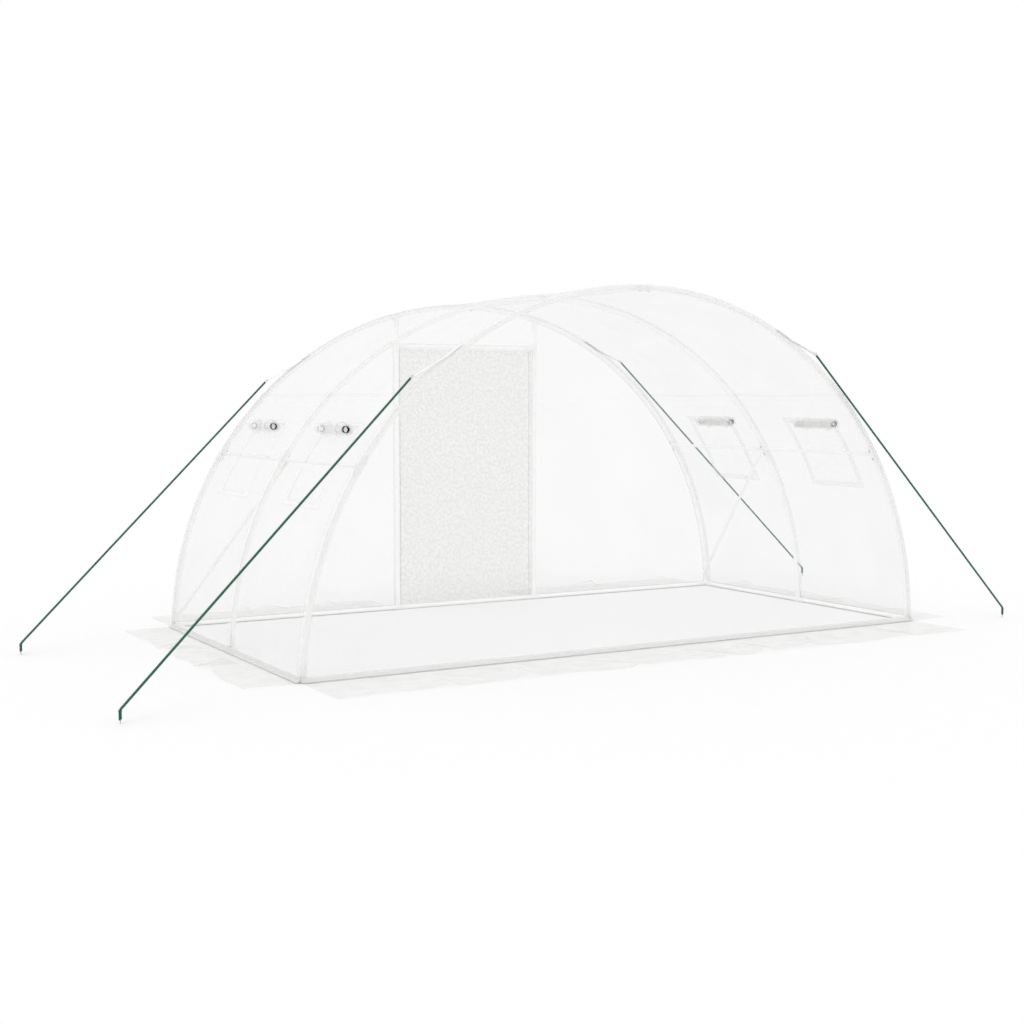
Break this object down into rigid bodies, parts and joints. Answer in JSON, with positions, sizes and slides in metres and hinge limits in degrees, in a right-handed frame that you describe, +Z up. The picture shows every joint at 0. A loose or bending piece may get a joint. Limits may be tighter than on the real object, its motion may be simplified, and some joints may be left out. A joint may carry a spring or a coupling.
{
  "type": "polytunnel greenhouse",
  "caption": "Walk-in polytunnel greenhouse: round steel hoops under a clear woven film cover with a door, side windows with rolled flaps, ground flaps and taut guy ropes.",
  "frame": {"origin": "on the ground under the crown of the middle hoop, at the centre of the footprint", "axes": "+X to the right across the span, +Y along the ridge towards the doorway gable, +Z up"},
  "size_m": [5.982, 2.9368, 1.97],
  "materials": {
    "frame_tube": "white powder coat, satin",
    "frame_joint": "white powder coat, satin",
    "cover_film": "clear woven film with a fine grid",
    "flap_film": "clear woven film, creased",
    "rolled_flap": "rolled woven film",
    "window_net": "white insect net",
    "door_net": "pale grey insect net",
    "guy_rope": "dark green twisted rope",
    "webbing": "white webbing",
    "peg_steel": "plain bright wire"
  },
  "bodies": {
    "root": {"base_rail_far": "frame_tube", "base_rail_left": "frame_tube", "base_rail_near": "frame_tube", "base_rail_right": "frame_tube", "brace_left": "frame_tube", "brace_right": "frame_tube", "door_frame_joints": "frame_joint", "door_header": "frame_tube", "door_post_left": "frame_tube", "door_post_right": "frame_tube", "door_screen": "door_net", "feet_far": "frame_joint", "feet_middle": "frame_joint", "feet_near": "frame_joint", "gable_film_far_left": "cover_film", "gable_film_far_right": "cover_film", "gable_film_near": "cover_film", "gable_film_over_door": "cover_film", "ground_flap_left": "flap_film", "ground_flap_near": "flap_film", "ground_flap_right": "flap_film", "ground_flaps_far": "flap_film", "guy_ropes_left": "guy_rope", "guy_ropes_right": "guy_rope", "hoop_far": "frame_tube", "hoop_middle": "frame_tube", "hoop_near": "frame_tube", "pegs_left": "peg_steel", "pegs_right": "peg_steel", "purlin_joints_far": "frame_joint", "purlin_joints_middle": "frame_joint", "purlin_joints_near": "frame_joint", "purlin_left": "frame_tube", "purlin_ridge": "frame_tube", "purlin_right": "frame_tube", "roof_film": "cover_film", "rope_tabs": "webbing", "side_film_left_far": "cover_film", "side_film_left_near": "cover_film", "side_film_right_far": "cover_film", "side_film_right_near": "cover_film", "window_nets_left": "window_net", "window_nets_right": "window_net", "window_rolls_left": "rolled_flap", "window_rolls_right": "rolled_flap"}
  },
  "joints": []
}
